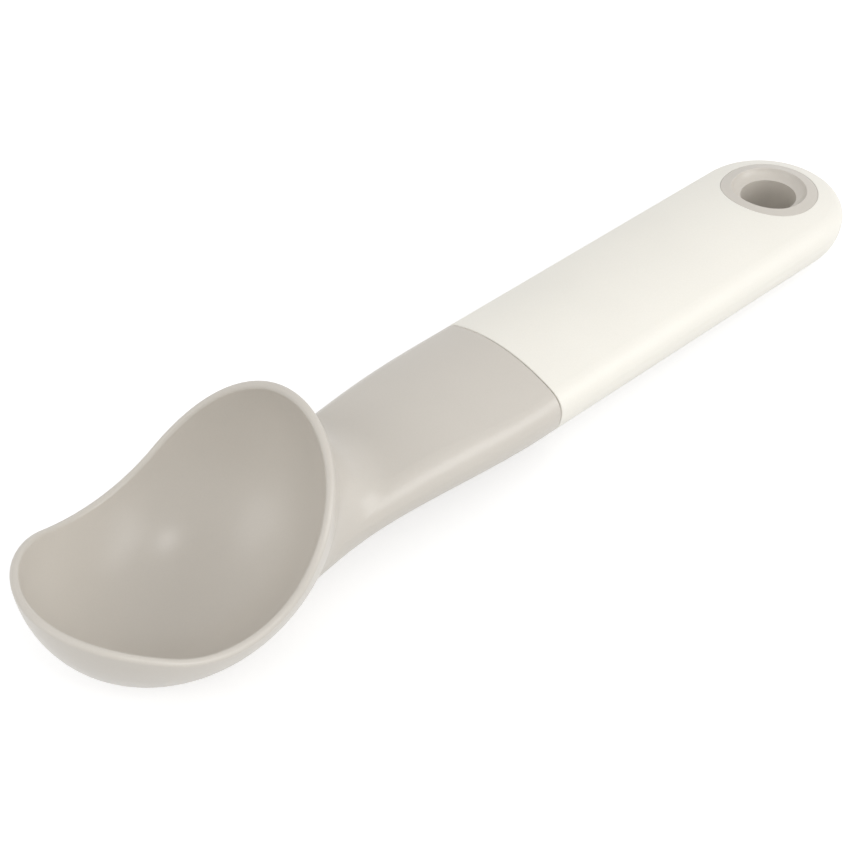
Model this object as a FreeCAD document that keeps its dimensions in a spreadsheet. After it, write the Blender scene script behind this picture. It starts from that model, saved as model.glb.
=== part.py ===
import FreeCAD, Part
import math
import os

import Sketcher

# Ice cream scoop, laid down the way it rests on a table: bowl opening upwards,
# the lowest point of the bowl and the end of the grip on the surface.
# It is drawn along its grip: the seam between neck and grip is at x = 0, the bowl
# lies towards -X, the hanging end towards +X, and z = 0 is the widest line of the grip.
# The finished pieces are then tipped and lowered together onto the table.

SIZES = [
    # grip section, shared by the neck where they meet
    ("grip_half_width", 16.5, "half width of the grip at the seam"),
    ("grip_end_half_width", 16.8, "half width, and plan radius, of the grip at its round end"),
    ("grip_crown", 6.7, "height of the grip's top over its widest line"),
    ("grip_depth", 9.9, "depth of the grip's underside below its widest line"),
    ("grip_shoulder_radius", 4.4, "radius between side and top"),
    ("grip_lower_radius", 9.0, "radius between side and underside"),
    ("sleeve_wall", 2.4, "wall of the hollow sleeve"),
    ("tang_clearance", 0.15, "gap between the tang and the inside of the sleeve"),
    ("seam_gap", 0.2, "shadow gap between the neck's shoulder and the sleeve's mouth"),
    ("seam_edge_radius", 0.3, "rounded edge of the sleeve's mouth"),
    ("neck_edge_radius", 0.2, "rounded edge of the neck's shoulder"),
    # hanging eye
    ("eye_reach", 79.8, "seam to the axis of the hanging eye"),
    ("eye_offset", 0.7, "centre of the grip's round end to the axis of the eye"),
    ("eye_lip_radius", 10.5, "outside of the lip that shows on the grip"),
    ("eye_lip_seat", 2.6, "height of the lip's seat over the widest line"),
    ("eye_barrel_radius", 8.3, "outside of the barrel below the lip"),
    ("eye_bore_radius", 6.0, "through hole"),
    ("eye_funnel_radius", 2.9, "hollow rounding from the lip down to the hole"),
    ("eye_funnel_setback", 0.7, "wall of the hole to the centre of that rounding"),
    ("eye_clearance", 0.05, "gap round the eye"),
    ("eye_edge_radius", 0.2, "rounded edges of the lip that shows"),
    # neck; each drop is how far the section's widest line lies below that of the grip
    ("neck_mid_reach", 13.0, "first neck section, from the seam"),
    ("neck_mid_drop", 0.0, ""),
    ("neck_mid_half_width", 16.4, ""),
    ("neck_mid_crown", 6.7, ""),
    ("neck_mid_depth", 9.9, ""),
    ("neck_mid_shoulder_radius", 4.4, "radius between side and top there"),
    ("neck_mid_lower_radius", 8.0, "radius between side and underside there"),
    ("neck_waist_setback", 42.6, "centre of the bowl back to the second neck section"),
    ("neck_waist_drop", 0.2, ""),
    ("neck_waist_half_width", 14.8, ""),
    ("neck_waist_crown", 6.0, ""),
    ("neck_waist_depth", 9.0, ""),
    ("neck_waist_shoulder_radius", 4.8, ""),
    ("neck_waist_lower_radius", 6.5, ""),
    ("neck_root_setback", 27.6, "centre of the bowl back to the third neck section"),
    ("neck_root_drop", 0.8, ""),
    ("neck_root_side", 11.4, "how much narrower than the bowl the neck is there, on each side"),
    ("neck_root_crown", 5.4, ""),
    ("neck_root_depth", 11.3, ""),
    ("neck_root_shoulder_radius", 3.6, ""),
    ("neck_root_lower_radius", 8.5, ""),
    ("neck_foot_setback", 5.6, "centre of the bowl back to the last neck section, buried in its wall"),
    ("neck_foot_drop", 0.0, ""),
    ("neck_foot_side", 7.8, ""),
    ("neck_foot_crown", 5.0, ""),
    ("neck_foot_depth", 12.4, ""),
    ("neck_foot_shoulder_radius", 3.6, ""),
    ("neck_foot_lower_radius", 8.5, ""),
    ("neck_blend_radius", 11.0, "hollow rounding between neck and bowl"),
    # bowl
    ("bowl_reach", 75.7, "seam to the centre of the bowl's ellipsoid"),
    ("bowl_rise", 12.1, "height of that centre over the grip's widest line"),
    ("bowl_half_length", 29.85, "outer half axes of the ellipsoid"),
    ("bowl_half_width", 25.1, ""),
    ("bowl_half_height", 26.9, ""),
    ("bowl_pitch", 26.4, "degrees by which the long axis rises towards the grip"),
    ("bowl_wall", 1.6, "wall of the bowl"),
    ("bowl_margin", 6.0, "how far the lip's cut reaches beyond the bowl"),
    ("rim_round", 0.72, "rounded edges of the lip"),
    # saddle line of the lip, seen from the side
    ("rim_valley_lead", 4.2, "centre of the bowl forward to the lowest point of the lip"),
    ("rim_valley_drop", 9.7, "centre of the bowl down to that point"),
    ("rim_valley_radius", 22.1, ""),
    ("rim_back_run", 13.8, "lowest point to the start of the long back stretch"),
    ("rim_back_radius", 115.0, ""),
    ("rim_front_run", 11.1, "lowest point to the start of the front stretch"),
    ("rim_front_radius", 52.0, ""),
]

# Sizes that follow others
TIED = [
    ("grip_reach", "eye_reach - eye_offset", "seam to the centre of the grip's round end"),
    ("neck_waist_reach", "bowl_reach - neck_waist_setback", "seam to the second neck section"),
    ("neck_root_reach", "bowl_reach - neck_root_setback", "seam to the third neck section"),
    ("neck_root_half_width", "bowl_half_width - neck_root_side", ""),
    ("neck_foot_reach", "bowl_reach - neck_foot_setback", "seam to the last neck section"),
    ("neck_foot_half_width", "bowl_half_width - neck_foot_side", ""),
    ("rim_valley_reach", "bowl_reach + rim_valley_lead", "seam to the lowest point of the lip"),
    ("rim_valley_rise", "bowl_rise - rim_valley_drop", "height of that point over the widest line"),
    ("eye_funnel_centre", "eye_bore_radius - eye_funnel_setback", "from the axis of the eye"),
]

CLOSE = 0.05  # mm within which an edge counts as lying on a surface
STEEPEST = 20.0  # degrees, more than the scoop can lean on a table
LEVEL = 0.001  # degrees to which its lean is found


def fill_sheet(doc):
    """Put every driving dimension in one sheet, one row each, under its own alias."""
    sheet = doc.addObject("Spreadsheet::Sheet", "Sizes")
    tied = [(alias, "=" + formula, note) for alias, formula, note in TIED]
    for row, (alias, value, note) in enumerate(SIZES + tied, start=1):
        sheet.set("A%d" % row, alias)
        sheet.set("B%d" % row, str(value))
        sheet.set("C%d" % row, note)
        sheet.setAlias("B%d" % row, alias)
    doc.recompute()
    return sheet


doc = FreeCAD.newDocument("IceCreamScoop")
sheet = fill_sheet(doc)


def size(expression):
    """Value of an expression over the sheet's aliases."""
    return float(sheet.evalExpression(expression))


def origin_plane(body, role):
    return next(item for item in body.Origin.OriginFeatures if item.Role == role)


def attach(feature, body, role, offsets):
    """Attach a sketch or primitive to an origin plane, its offsets bound to the sheet."""
    feature.AttachmentSupport = [(origin_plane(body, role), "")]
    feature.MapMode = "FlatFace"
    for path, expression in offsets.items():
        feature.setExpression("AttachmentOffset." + path, expression)


def add_sketch(body, name, role, offsets):
    sketch = body.newObject("Sketcher::SketchObject", name)
    attach(sketch, body, role, offsets)
    return sketch


def constrain(sketch, kind, *arguments):
    return sketch.addConstraint(Sketcher.Constraint(kind, *arguments))


def dimension(sketch, expression, kind, *arguments):
    """Add a dimension whose value follows an expression over the sheet."""
    index = constrain(sketch, kind, *arguments, size(expression))
    sketch.setExpression("Constraints[%d]" % index, expression)


def arc(x, y, radius, start, end):
    circle = Part.Circle(FreeCAD.Vector(x, y, 0), FreeCAD.Vector(0, 0, 1), radius)
    return Part.ArcOfCircle(circle, start, end)


def flank(half_width, height, radius):
    """Large radius, and the angle where it takes over, of one half of a grip section."""
    inset = half_width - radius
    large = (inset ** 2 + height ** 2 - radius ** 2) / (2 * (height - radius))
    return large, math.atan2(large - height, inset)


class Section:
    """Expressions of one cross section of grip, tang or neck."""

    def __init__(self, half_width, crown, depth, shoulder, lower, inset="0"):
        self.half_width = "%s - (%s)" % (half_width, inset)
        self.crown = "%s - (%s)" % (crown, inset)
        self.depth = "%s - (%s)" % (depth, inset)
        self.shoulder = "%s - (%s)" % (shoulder, inset)
        self.lower = "%s - (%s)" % (lower, inset)


def grip_section(half_width, inset="0"):
    return Section(half_width, "Sizes.grip_crown", "Sizes.grip_depth",
                   "Sizes.grip_shoulder_radius", "Sizes.grip_lower_radius", inset)


def neck_section(place):
    return Section("Sizes.neck_%s_half_width" % place, "Sizes.neck_%s_crown" % place,
                   "Sizes.neck_%s_depth" % place, "Sizes.neck_%s_shoulder_radius" % place,
                   "Sizes.neck_%s_lower_radius" % place)


def full_section(body, name, reach, section, drop="0"):
    """Closed section across the grip: crowned top, round sides, fuller underside."""
    sketch = add_sketch(body, name, "YZ_Plane", {"Base.z": reach, "Base.y": "-(%s)" % drop})
    width, crown, depth = size(section.half_width), size(section.crown), size(section.depth)
    shoulder, lower = size(section.shoulder), size(section.lower)
    top, top_angle = flank(width, crown, shoulder)
    base, base_angle = flank(width, depth, lower)
    turn = math.pi
    sketch.addGeometry([
        arc(width - shoulder, 0, shoulder, 0, top_angle),
        arc(0, crown - top, top, top_angle, turn - top_angle),
        arc(shoulder - width, 0, shoulder, turn - top_angle, turn),
        arc(lower - width, 0, lower, turn, turn + base_angle),
        arc(0, base - depth, base, turn + base_angle, 2 * turn - base_angle),
        arc(width - lower, 0, lower, 2 * turn - base_angle, 2 * turn),
    ], False)
    crown_point = sketch.addGeometry(Part.Point(FreeCAD.Vector(0, crown, 0)), True)
    depth_point = sketch.addGeometry(Part.Point(FreeCAD.Vector(0, -depth, 0)), True)
    for index in range(6):
        constrain(sketch, "Tangent", index, 2, (index + 1) % 6, 1)
    for index in (0, 2, 3, 5):
        constrain(sketch, "PointOnObject", index, 3, -1)
    constrain(sketch, "Equal", 0, 2)
    constrain(sketch, "Equal", 5, 3)
    for point, curve in ((crown_point, 1), (depth_point, 4)):
        constrain(sketch, "PointOnObject", point, 1, -2)
        constrain(sketch, "PointOnObject", point, 1, curve)
    dimension(sketch, section.shoulder, "Radius", 0)
    dimension(sketch, section.lower, "Radius", 5)
    dimension(sketch, section.half_width, "DistanceX", -1, 1, 0, 1)
    dimension(sketch, section.half_width, "DistanceX", 2, 2, -1, 1)
    dimension(sketch, section.crown, "DistanceY", -1, 1, crown_point, 1)
    dimension(sketch, section.depth, "DistanceY", depth_point, 1, -1, 1)
    return sketch


def half_section(body, name, reach, section):
    """Right half of a section, closed by the upright axis of the round end."""
    sketch = add_sketch(body, name, "XZ_Plane", {"Base.x": reach})
    width, crown, depth = size(section.half_width), size(section.crown), size(section.depth)
    shoulder, lower = size(section.shoulder), size(section.lower)
    top, top_angle = flank(width, crown, shoulder)
    base, base_angle = flank(width, depth, lower)
    turn = math.pi
    sketch.addGeometry([
        arc(0, base - depth, base, 1.5 * turn, 2 * turn - base_angle),
        arc(width - lower, 0, lower, 2 * turn - base_angle, 2 * turn),
        arc(width - shoulder, 0, shoulder, 0, top_angle),
        arc(0, crown - top, top, top_angle, turn / 2),
        Part.LineSegment(FreeCAD.Vector(0, crown, 0), FreeCAD.Vector(0, -depth, 0)),
    ], False)
    for index in range(3):
        constrain(sketch, "Tangent", index, 2, index + 1, 1)
    constrain(sketch, "Coincident", 3, 2, 4, 1)
    constrain(sketch, "Coincident", 4, 2, 0, 1)
    for index in (1, 2):
        constrain(sketch, "PointOnObject", index, 3, -1)
    for index in (0, 3):
        constrain(sketch, "PointOnObject", index, 3, -2)
    for end in (1, 2):
        constrain(sketch, "PointOnObject", 4, end, -2)
    dimension(sketch, section.lower, "Radius", 1)
    dimension(sketch, section.shoulder, "Radius", 2)
    dimension(sketch, section.half_width, "DistanceX", -1, 1, 1, 2)
    dimension(sketch, section.crown, "DistanceY", -1, 1, 4, 1)
    dimension(sketch, section.depth, "DistanceY", 4, 2, -1, 1)
    return sketch


def polygon(body, name, role, offsets, corners):
    """Closed outline of straight edges, each corner placed by two expressions."""
    sketch = add_sketch(body, name, role, offsets)
    points = [FreeCAD.Vector(size(across), size(up), 0) for across, up in corners]
    count = len(points)
    for index, point in enumerate(points):
        sketch.addGeometry(Part.LineSegment(point, points[(index + 1) % count]), False)
    for index in range(count):
        constrain(sketch, "Coincident", index, 2, (index + 1) % count, 1)
    for index, (across, up) in enumerate(corners):
        place_point(sketch, index, 1, across, up)
    return sketch


def place_point(sketch, geometry, end, across, up):
    """Dimension a point from the sketch's origin, along each axis in turn."""
    for kind, expression, axis in (("DistanceX", across, -2), ("DistanceY", up, -1)):
        value = size(expression)
        if value > 0:
            dimension(sketch, expression, kind, -1, 1, geometry, end)
        elif value < 0:
            dimension(sketch, "-(%s)" % expression, kind, geometry, end, -1, 1)
        else:
            constrain(sketch, "PointOnObject", geometry, end, axis)


def loft(body, name, kind, sketches):
    feature = body.newObject("PartDesign::" + kind, name)
    feature.Profile = sketches[0]
    feature.Sections = sketches[1:]
    doc.recompute()
    return feature


def turned(body, name, kind, sketch, angle):
    """Turn a sketch about its own upright axis, to both sides of its plane."""
    feature = body.newObject("PartDesign::" + kind, name)
    feature.Profile = sketch
    feature.ReferenceAxis = (sketch, ["V_Axis"])
    feature.Angle = angle
    feature.Midplane = True
    doc.recompute()
    return feature


def round_edges(body, name, radius, chosen):
    """Round the edges of the body's tip that a test picks out."""
    base = body.Tip
    names = ["Edge%d" % (index + 1) for index, edge in enumerate(base.Shape.Edges) if chosen(edge)]
    feature = body.newObject("PartDesign::Fillet", name)
    feature.Base = (base, names)
    feature.setExpression("Radius", radius)
    doc.recompute()
    return feature


def middle(edge):
    first, last = edge.ParameterRange
    return edge.valueAt((first + last) / 2)


def grip_form(body, kind, groove, name, inset="0", mouth="0"):
    """Grip or tang: a loft from its mouth to the round end, and that end turned about its axis."""
    seam = full_section(body, name + "SeamSection", mouth, grip_section("Sizes.grip_half_width", inset))
    end_section = grip_section("Sizes.grip_end_half_width", inset)
    end = full_section(body, name + "EndSection", "Sizes.grip_reach", end_section)
    loft(body, name + "Loft", kind, [seam, end])
    half = half_section(body, name + "EndHalf", "Sizes.grip_reach", end_section)
    return turned(body, name + "End", groove, half, 180)


def eye_seat(body, name):
    """Cut the stepped hole that takes the hanging eye."""
    lip = "Sizes.eye_lip_radius + Sizes.eye_clearance"
    barrel = "Sizes.eye_barrel_radius + Sizes.eye_clearance"
    above = "Sizes.grip_crown + Sizes.eye_lip_radius"
    below = "-(Sizes.grip_depth + Sizes.eye_lip_radius)"
    sketch = polygon(body, name + "Profile", "XZ_Plane", {"Base.x": "Sizes.eye_reach"}, [
        ("0", below), (barrel, below), (barrel, "Sizes.eye_lip_seat"),
        (lip, "Sizes.eye_lip_seat"), (lip, above), ("0", above)])
    return turned(body, name, "Groove", sketch, 360)


def bowl_ellipsoid(body, name, kind, inset):
    """Ellipsoid of the bowl, its poles at the sides, where the lip's saddle cuts them away."""
    feature = body.newObject("PartDesign::" + kind, name)
    feature.Angle1 = -90
    feature.Angle2 = 90
    feature.Angle3 = 360
    feature.setExpression("Radius1", "Sizes.bowl_half_width - " + inset)
    feature.setExpression("Radius2", "Sizes.bowl_half_height - " + inset)
    feature.setExpression("Radius3", "Sizes.bowl_half_length - " + inset)
    attach(feature, body, "XZ_Plane", {
        "Base.x": "-Sizes.bowl_reach",
        "Base.y": "Sizes.bowl_rise",
        "Rotation.Angle": "90 + Sizes.bowl_pitch",
    })
    doc.recompute()
    return feature


class Saddle:
    """Lip seen from the side: a hollow valley arc, then one arc to the back and one to the front."""

    def __init__(self):
        self.valley_x = -size("Sizes.rim_valley_reach")
        self.valley_radius = size("Sizes.rim_valley_radius")
        self.valley_z = size("Sizes.rim_valley_rise") + self.valley_radius
        self.back_run, self.back_radius = size("Sizes.rim_back_run"), size("Sizes.rim_back_radius")
        self.front_run, self.front_radius = size("Sizes.rim_front_run"), size("Sizes.rim_front_radius")
        self.back_turn = math.asin(self.back_run / self.valley_radius)
        self.front_turn = math.asin(self.front_run / self.valley_radius)
        back_shift = self.back_radius - self.valley_radius
        self.back_x = self.valley_x - back_shift * math.sin(self.back_turn)
        self.back_z = self.valley_z + back_shift * math.cos(self.back_turn)
        front_shift = self.front_radius + self.valley_radius
        self.front_x = self.valley_x - front_shift * math.sin(self.front_turn)
        self.front_z = self.valley_z - front_shift * math.cos(self.front_turn)

    def height(self, x):
        """Height of the lip at a place along the scoop."""
        if x > self.valley_x + self.back_run:
            return self.back_z - math.sqrt(self.back_radius ** 2 - (x - self.back_x) ** 2)
        if x < self.valley_x - self.front_run:
            return self.front_z + math.sqrt(self.front_radius ** 2 - (x - self.front_x) ** 2)
        return self.valley_z - math.sqrt(self.valley_radius ** 2 - (x - self.valley_x) ** 2)


def rim_outline(body):
    """Everything above the lip, seen from the side: three tangent arcs and straight closing lines."""
    sketch = add_sketch(body, "RimOutline", "XZ_Plane", {})
    saddle = Saddle()
    down = 1.5 * math.pi
    right = "-Sizes.neck_waist_reach"
    left = "-(Sizes.bowl_reach + Sizes.bowl_half_length + Sizes.bowl_margin)"
    top = "Sizes.bowl_rise + Sizes.bowl_half_length + Sizes.bowl_margin"
    back_end = math.asin((size(right) - saddle.back_x) / saddle.back_radius)
    front_end = math.acos((size(left) - saddle.front_x) / saddle.front_radius)
    corner_back = FreeCAD.Vector(size(right), saddle.height(size(right)), 0)
    corner_front = FreeCAD.Vector(size(left), saddle.height(size(left)), 0)
    top_back = FreeCAD.Vector(size(right), size(top), 0)
    top_front = FreeCAD.Vector(size(left), size(top), 0)
    sketch.addGeometry([
        arc(saddle.front_x, saddle.front_z, saddle.front_radius,
            math.pi / 2 - saddle.front_turn, front_end),
        arc(saddle.valley_x, saddle.valley_z, saddle.valley_radius,
            down - saddle.front_turn, down + saddle.back_turn),
        arc(saddle.back_x, saddle.back_z, saddle.back_radius,
            down + saddle.back_turn, down + back_end),
        Part.LineSegment(corner_back, top_back),
        Part.LineSegment(top_back, top_front),
        Part.LineSegment(top_front, corner_front),
    ], False)
    constrain(sketch, "Tangent", 0, 1, 1, 1)
    constrain(sketch, "Tangent", 1, 2, 2, 1)
    constrain(sketch, "Coincident", 2, 2, 3, 1)
    constrain(sketch, "Coincident", 3, 2, 4, 1)
    constrain(sketch, "Coincident", 4, 2, 5, 1)
    constrain(sketch, "Coincident", 5, 2, 0, 2)
    constrain(sketch, "Vertical", 3)
    constrain(sketch, "Horizontal", 4)
    constrain(sketch, "Vertical", 5)
    dimension(sketch, "Sizes.rim_valley_radius", "Radius", 1)
    dimension(sketch, "Sizes.rim_back_radius", "Radius", 2)
    dimension(sketch, "Sizes.rim_front_radius", "Radius", 0)
    dimension(sketch, "Sizes.rim_valley_reach", "DistanceX", 1, 3, -1, 1)
    dimension(sketch, "Sizes.rim_valley_rise + Sizes.rim_valley_radius", "DistanceY", -1, 1, 1, 3)
    dimension(sketch, "Sizes.rim_back_run", "DistanceX", 1, 3, 1, 2)
    dimension(sketch, "Sizes.rim_front_run", "DistanceX", 1, 1, 1, 3)
    dimension(sketch, "-(%s)" % right, "DistanceX", 3, 1, -1, 1)
    dimension(sketch, "-(%s)" % left, "DistanceX", 5, 1, -1, 1)
    dimension(sketch, top, "DistanceY", -1, 1, 4, 1)
    return sketch


def bowl_gap(point):
    """Rough distance from a point to the outside of the bowl's ellipsoid, positive inside it."""
    pitch = math.radians(size("Sizes.bowl_pitch"))
    along = point.x + size("Sizes.bowl_reach")
    up = point.z - size("Sizes.bowl_rise")
    length = along * math.cos(pitch) + up * math.sin(pitch)
    height = up * math.cos(pitch) - along * math.sin(pitch)
    ratio = math.sqrt((length / size("Sizes.bowl_half_length")) ** 2
                      + (point.y / size("Sizes.bowl_half_width")) ** 2
                      + (height / size("Sizes.bowl_half_height")) ** 2)
    return (1 - ratio) * size("Sizes.bowl_half_width")


def where_neck_meets_bowl(edge):
    """Edges along which the neck runs into the outside of the bowl."""
    point = middle(edge)
    return abs(bowl_gap(point)) < CLOSE and point.x > -size("Sizes.neck_foot_reach")


def on_lip(edge):
    """Edges left on the lip by the saddle cut, outside and inside."""
    point = middle(edge)
    in_wall = -CLOSE < bowl_gap(point) < size("Sizes.bowl_wall") + CLOSE
    return in_wall and abs(Saddle().height(point.x) - point.z) < CLOSE


def edges_across(x):
    """Test for edges that lie in one plane across the grip."""
    def lies_there(edge):
        places = [vertex.X for vertex in edge.Vertexes] + [middle(edge).x]
        return all(abs(place - x) < CLOSE for place in places)

    return lies_there


def make_scoop():
    """Bowl, neck and tang, moulded as one piece."""
    body = doc.addObject("PartDesign::Body", "Scoop")
    body.Label = "scoop"
    bowl_ellipsoid(body, "BowlOutside", "AdditiveEllipsoid", "0")
    sections = [full_section(body, "NeckSeam", "0", grip_section("Sizes.grip_half_width"))]
    for place in ("mid", "waist", "root", "foot"):
        sections.append(full_section(body, "Neck" + place.title(), "-Sizes.neck_%s_reach" % place,
                                     neck_section(place), "Sizes.neck_%s_drop" % place))
    loft(body, "Neck", "AdditiveLoft", sections)
    round_edges(body, "NeckBlend", "Sizes.neck_blend_radius", where_neck_meets_bowl)
    round_edges(body, "NeckEdge", "Sizes.neck_edge_radius", edges_across(0))
    bowl_ellipsoid(body, "BowlInside", "SubtractiveEllipsoid", "Sizes.bowl_wall")
    cut = body.newObject("PartDesign::Pocket", "RimCut")
    cut.Profile = rim_outline(body)
    cut.Type = "Length"
    cut.Midplane = True
    cut.setExpression("Length", "2 * (Sizes.bowl_half_width + Sizes.bowl_margin)")
    doc.recompute()
    round_edges(body, "RimRound", "Sizes.rim_round", on_lip)
    grip_form(body, "AdditiveLoft", "Revolution", "Tang", "Sizes.sleeve_wall + Sizes.tang_clearance")
    eye_seat(body, "TangSeat")
    return body


def make_sleeve():
    """Hollow grip sleeve, open at the seam and round at the hanging end."""
    body = doc.addObject("PartDesign::Body", "GripSleeve")
    body.Label = "grip_sleeve"
    grip_form(body, "AdditiveLoft", "Revolution", "Outside", mouth="Sizes.seam_gap")
    round_edges(body, "MouthEdge", "Sizes.seam_edge_radius", edges_across(size("Sizes.seam_gap")))
    grip_form(body, "SubtractiveLoft", "Groove", "Inside", "Sizes.sleeve_wall")
    eye_seat(body, "SleeveSeat")
    return body


def make_eye():
    """Eyelet through sleeve and tang, its lip trimmed to the grip's own crowned surface."""
    envelope = doc.addObject("PartDesign::Body", "EyeEnvelope")
    grip_form(envelope, "AdditiveLoft", "Revolution", "Envelope")
    body = doc.addObject("PartDesign::Body", "HangingEye")
    body.Label = "hanging_eye"
    lip, barrel, bore = "Sizes.eye_lip_radius", "Sizes.eye_barrel_radius", "Sizes.eye_bore_radius"
    above = "Sizes.grip_crown + Sizes.eye_lip_radius"
    below = "-(Sizes.grip_depth + Sizes.eye_lip_radius)"
    profile = polygon(body, "EyeProfile", "XZ_Plane", {"Base.x": "Sizes.eye_reach"}, [
        (bore, below), (barrel, below), (barrel, "Sizes.eye_lip_seat"),
        (lip, "Sizes.eye_lip_seat"), (lip, above), (bore, above)])
    turned(body, "EyeTurned", "Revolution", profile, 360)
    trim = body.newObject("PartDesign::Boolean", "EyeTrim")
    trim.Type = "Common"
    trim.setObjects([envelope])
    doc.recompute()
    hollow = add_sketch(body, "EyeFunnelProfile", "XZ_Plane", {"Base.x": "Sizes.eye_reach"})
    centre = FreeCAD.Vector(size("Sizes.eye_funnel_centre"), size("Sizes.grip_crown"), 0)
    circle = Part.Circle(centre, FreeCAD.Vector(0, 0, 1), size("Sizes.eye_funnel_radius"))
    hollow.addGeometry(circle)
    place_point(hollow, 0, 3, "Sizes.eye_funnel_centre", "Sizes.grip_crown")
    dimension(hollow, "Sizes.eye_funnel_radius", "Radius", 0)
    turned(body, "EyeFunnel", "Groove", hollow, 360)
    round_edges(body, "EyeEdges", "Sizes.eye_edge_radius", on_eye_lip)
    return body


def on_eye_lip(edge):
    """Both round edges of the eye's lip, where it ends in the crowned top of the grip."""
    point = middle(edge)
    spread = math.hypot(point.x - size("Sizes.eye_reach"), point.y)
    rings = (size("Sizes.eye_lip_radius"), size("Sizes.eye_funnel_centre + Sizes.eye_funnel_radius"))
    at_ring = any(abs(spread - ring) < CLOSE for ring in rings)
    return at_ring and point.z > size("Sizes.eye_lip_seat") + CLOSE


def resting_tilt():
    """Degrees the hanging end drops until the bowl and the round end touch the table together."""
    pitch = math.radians(size("Sizes.bowl_pitch"))
    half_width, depth = size("Sizes.grip_end_half_width"), size("Sizes.grip_depth")
    base, _ = flank(half_width, depth, size("Sizes.grip_lower_radius"))

    def bowl_below(tilt):
        length = size("Sizes.bowl_half_length") * math.sin(tilt - pitch)
        height = size("Sizes.bowl_half_height") * math.cos(tilt - pitch)
        centre = -size("Sizes.bowl_reach") * math.sin(tilt) - size("Sizes.bowl_rise") * math.cos(tilt)
        return centre + math.hypot(length, height)

    def end_below(tilt):
        centre = size("Sizes.grip_reach") * math.sin(tilt) - (base - depth) * math.cos(tilt)
        return centre + base

    low, high = 0.0, math.radians(STEEPEST)
    while high - low > math.radians(LEVEL):
        tilt = (low + high) / 2
        if bowl_below(tilt) > end_below(tilt):
            low = tilt
        else:
            high = tilt
    return math.degrees(low)


def lay_on_table(pieces):
    """Tip the pieces together, then move them so the table is at z = 0 and the scoop is centred."""
    tipped = FreeCAD.Rotation(FreeCAD.Vector(0, 1, 0), resting_tilt())
    for piece in pieces:
        piece.Placement = FreeCAD.Placement(FreeCAD.Vector(0, 0, 0), tipped)
    doc.recompute()
    box = Part.makeCompound([piece.Shape for piece in pieces]).optimalBoundingBox()
    shift = FreeCAD.Vector(-(box.XMin + box.XMax) / 2, -(box.YMin + box.YMax) / 2, -box.ZMin)
    for piece in pieces:
        piece.Placement = FreeCAD.Placement(shift, tipped)
    doc.recompute()


scoop = make_scoop()
sleeve = make_sleeve()
eye = make_eye()
lay_on_table([scoop, sleeve, eye])
for item in doc.Objects:
    if "Invalid" in item.State or "Error" in item.State:
        raise RuntimeError("failed: " + item.Name)
os.makedirs("parts", exist_ok=True)
for piece in (scoop, sleeve, eye):
    if piece.Shape.isNull() or not piece.Shape.isValid():
        raise RuntimeError("bad shape: " + piece.Label)
    piece.Shape.exportStep("parts/%s.step" % piece.Label)
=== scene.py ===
import math

import bpy
from mathutils import Matrix, Vector

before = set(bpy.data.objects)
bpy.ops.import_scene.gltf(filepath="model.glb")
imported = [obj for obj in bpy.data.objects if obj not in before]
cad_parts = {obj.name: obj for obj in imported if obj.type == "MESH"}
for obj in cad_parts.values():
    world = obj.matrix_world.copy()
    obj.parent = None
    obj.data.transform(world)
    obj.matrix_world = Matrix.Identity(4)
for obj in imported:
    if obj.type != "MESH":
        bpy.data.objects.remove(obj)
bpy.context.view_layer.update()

# Camera: where it looks, how far off and from which side, in metres and degrees
AIM = Vector((-0.00104, 0.01875, -0.01053))
CAMERA_DISTANCE = 0.33824
CAMERA_AZIMUTH = -38.15
CAMERA_ELEVATION = 43.66
CAMERA_ROLL = 4.65
NEAREST_SEEN = 0.01
LENS_MM = 67.76
SENSOR_MM = 36.0

# Colours, as linear light
WARM_GREY = (0.605, 0.568, 0.513, 1.0)
OFF_WHITE = (0.855, 0.83, 0.76, 1.0)
FLOOR_WHITE = (0.675, 0.675, 0.675, 1.0)
PAPER_WHITE = (1.0, 1.0, 1.0, 1.0)

# Roughness of the two plastics, and by how much it and the colour wander to either side
GREY_ROUGHNESS = 0.30
WHITE_ROUGHNESS = 0.42
ROUGHNESS_SPREAD = 0.05
TINT_SPREAD = 0.03

# Moulded surface: fine grain and slow flow marks, sizes in metres
GRAIN_SIZE = 0.00035
GRAIN_DEPTH = 0.00001
GRAIN_STRENGTH = 0.4
GRAIN_DETAIL = 3.0
GRAIN_HARSHNESS = 0.6
FLOW_SIZE = 0.02
FLOW_DETAIL = 2.0

# Inside of the plastic: how it bends light, the share it scatters, and how far red, green and blue reach
PLASTIC_IOR = 1.5
SCATTER_SHARE = 0.04
SCATTER_REACH = (0.002, 0.0018, 0.0015)

# Floor, light without direction, and extra light by which the floor shows as paper
FLOOR_HALF_SIZE = 1.5
SKY = 0.75
FLOOR_GLOW = 0.505

# Softboxes: azimuth and elevation in degrees, width and height in metres, power in watts
SOFTBOX_DISTANCE = 1.0
SOFTBOXES = (
    ("softbox_key", 23, 22, 0.66, 0.6, 3.35),
    ("softbox_front", -14, 50, 0.16, 0.16, 0.9),
    ("softbox_left", -106, 33, 0.55, 0.55, 1.25),
)


def view_rotation(azimuth, elevation, roll=0):
    """Camera axes for a view: azimuth 0 looks along +Y, positive elevation looks down."""
    turn = Matrix.Rotation(math.radians(azimuth), 3, "Z")
    tilt = Matrix.Rotation(math.radians(90 - elevation), 3, "X")
    spin = Matrix.Rotation(math.radians(-roll), 3, "Z")
    return turn @ tilt @ spin


def add_looking(name, data, aim, distance, rotation):
    """Put a camera or lamp into the scene, at a distance from the point at which it looks."""
    looker = bpy.data.objects.new(name, data)
    bpy.context.scene.collection.objects.link(looker)
    place = aim + rotation @ Vector((0, 0, distance))
    looker.matrix_world = Matrix.Translation(place) @ rotation.to_4x4()
    return looker


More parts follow.
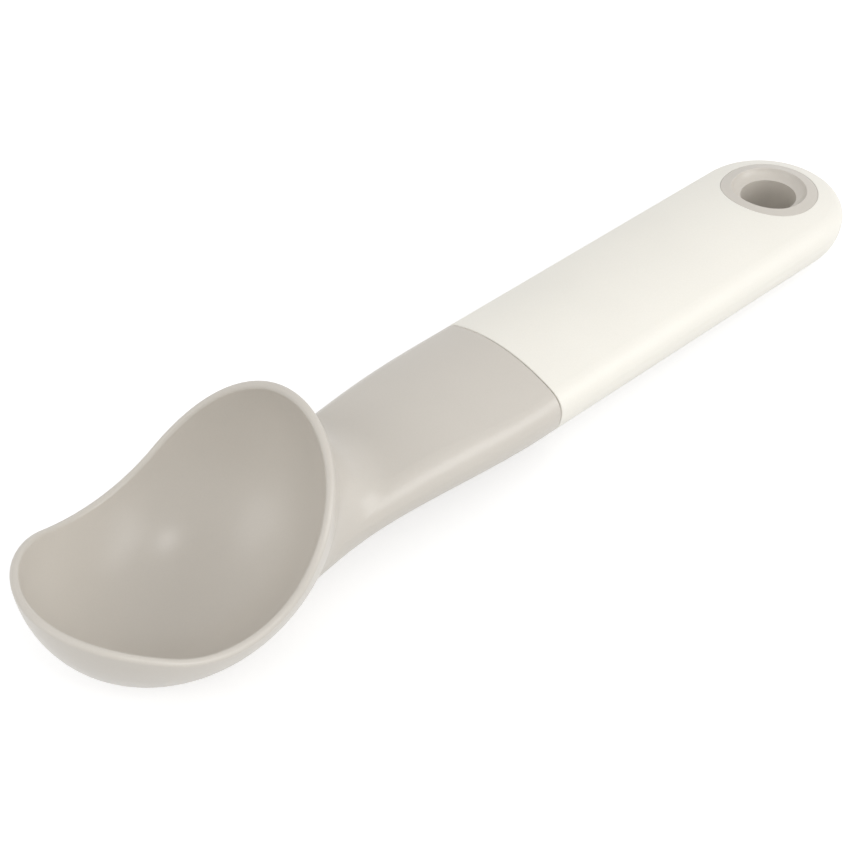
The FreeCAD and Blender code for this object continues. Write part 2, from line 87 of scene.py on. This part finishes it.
def add_camera():
    data = bpy.data.cameras.new("Camera")
    data.lens = LENS_MM
    data.sensor_width = SENSOR_MM
    data.clip_start = NEAREST_SEEN
    rotation = view_rotation(CAMERA_AZIMUTH, CAMERA_ELEVATION, CAMERA_ROLL)
    bpy.context.scene.camera = add_looking("Camera", data, AIM, CAMERA_DISTANCE, rotation)


def add_softbox(name, azimuth, elevation, width, height, power):
    """Upright area lamp that faces the middle of the scoop."""
    data = bpy.data.lights.new(name, "AREA")
    data.shape = "RECTANGLE"
    data.size = width
    data.size_y = height
    data.energy = power
    add_looking(name, data, Vector(), SOFTBOX_DISTANCE, view_rotation(azimuth, elevation))


class Nodes:
    """Short helpers over one node tree."""

    def __init__(self, owner):
        owner.use_nodes = True
        self.tree = owner.node_tree
        self.tree.nodes.clear()

    def add(self, kind, sockets=(), **settings):
        """Add a node, set its own settings, then the values of its sockets."""
        node = self.tree.nodes.new("ShaderNode" + kind)
        for name, value in settings.items():
            setattr(node, name, value)
        for name, value in dict(sockets).items():
            node.inputs[name].default_value = value
        return node

    def link(self, source, output, target, socket):
        self.tree.links.new(source.outputs[output], target.inputs[socket])

    def wander(self, noise, middle, spread):
        """Value that the noise moves to either side of the middle."""
        node = self.add("MapRange", {"To Min": middle - spread, "To Max": middle + spread})
        self.link(noise, "Fac", node, "Value")
        return node

    def seen_directly(self):
        """One for rays from the camera and those that it sees by gloss or through glass."""
        path = self.add("LightPath")
        glossy = self.add("Math", operation="MAXIMUM")
        direct = self.add("Math", operation="MAXIMUM")
        self.link(path, "Is Glossy Ray", glossy, 0)
        self.link(path, "Is Transmission Ray", glossy, 1)
        self.link(path, "Is Camera Ray", direct, 0)
        self.link(glossy, "Value", direct, 1)
        return direct


def moulded_plastic(name, colour, roughness):
    """Satin injection moulding: fine grain, slow changes of gloss, barely uneven colour."""
    material = bpy.data.materials.new(name)
    nodes = Nodes(material)
    place = nodes.add("TexCoord")
    flow = nodes.add("TexNoise", {"Scale": 1 / FLOW_SIZE, "Detail": FLOW_DETAIL})
    grain = nodes.add("TexNoise", {
        "Scale": 1 / GRAIN_SIZE, "Detail": GRAIN_DETAIL, "Roughness": GRAIN_HARSHNESS})
    for noise in (flow, grain):
        nodes.link(place, "Object", noise, "Vector")
    tint = nodes.add("Math", operation="MULTIPLY")
    nodes.link(nodes.wander(flow, 1, TINT_SPREAD), "Result", tint, 0)
    nodes.link(nodes.wander(grain, 1, TINT_SPREAD), "Result", tint, 1)
    shade = nodes.add("Mix", {"Factor": 1.0, "A": colour}, data_type="RGBA", blend_type="MULTIPLY")
    nodes.link(tint, "Value", shade, "B")
    gloss = nodes.wander(flow, roughness, ROUGHNESS_SPREAD)
    bump = nodes.add("Bump", {"Strength": GRAIN_STRENGTH, "Distance": GRAIN_DEPTH})
    nodes.link(grain, "Fac", bump, "Height")
    shader = nodes.add("BsdfPrincipled", {
        "IOR": PLASTIC_IOR, "Subsurface Weight": SCATTER_SHARE,
        "Subsurface Scale": 1.0, "Subsurface Radius": SCATTER_REACH})
    nodes.link(shade, "Result", shader, "Base Color")
    nodes.link(gloss, "Result", shader, "Roughness")
    nodes.link(bump, "Normal", shader, "Normal")
    nodes.link(shader, "BSDF", nodes.add("OutputMaterial"), "Surface")
    return material


def floor_paper():
    """Floor that takes the object's shadow, but shows as plain white paper elsewhere."""
    material = bpy.data.materials.new("floor_paper")
    nodes = Nodes(material)
    paper = nodes.add("BsdfDiffuse", {"Color": FLOOR_WHITE})
    glow = nodes.add("Emission", {"Color": PAPER_WHITE, "Strength": FLOOR_GLOW})
    both = nodes.add("AddShader")
    nodes.link(paper, "BSDF", both, 0)
    nodes.link(glow, "Emission", both, 1)
    choose = nodes.add("MixShader")
    nodes.link(nodes.seen_directly(), "Value", choose, "Fac")
    nodes.link(paper, "BSDF", choose, 1)
    nodes.link(both, "Shader", choose, 2)
    nodes.link(choose, "Shader", nodes.add("OutputMaterial"), "Surface")
    return material


def add_floor():
    mesh = bpy.data.meshes.new("floor")
    half = FLOOR_HALF_SIZE
    corners = [(-half, -half, 0), (half, -half, 0), (half, half, 0), (-half, half, 0)]
    mesh.from_pydata(corners, [], [(0, 1, 2, 3)])
    mesh.materials.append(floor_paper())
    floor = bpy.data.objects.new("floor", mesh)
    bpy.context.scene.collection.objects.link(floor)


def add_world():
    """Even light on the scoop, with plain white behind it."""
    world = bpy.data.worlds.new("World")
    bpy.context.scene.world = world
    nodes = Nodes(world)
    light = nodes.add("Background", {"Color": PAPER_WHITE, "Strength": SKY})
    white = nodes.add("Background", {"Color": PAPER_WHITE, "Strength": 1.0})
    choose = nodes.add("MixShader")
    nodes.link(nodes.seen_directly(), "Value", choose, "Fac")
    nodes.link(light, "Background", choose, 1)
    nodes.link(white, "Background", choose, 2)
    nodes.link(choose, "Shader", nodes.add("OutputWorld"), "Surface")


def use_material(node, material):
    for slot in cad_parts[node].material_slots:
        slot.material = material


add_camera()
grey = moulded_plastic("warm_grey_plastic", WARM_GREY, GREY_ROUGHNESS)
white = moulded_plastic("off_white_plastic", OFF_WHITE, WHITE_ROUGHNESS)
use_material("scoop", grey)
use_material("grip_sleeve", white)
use_material("hanging_eye", grey)
add_floor()
add_world()
for softbox in SOFTBOXES:
    add_softbox(*softbox)
bpy.context.scene.view_settings.view_transform = "Standard"
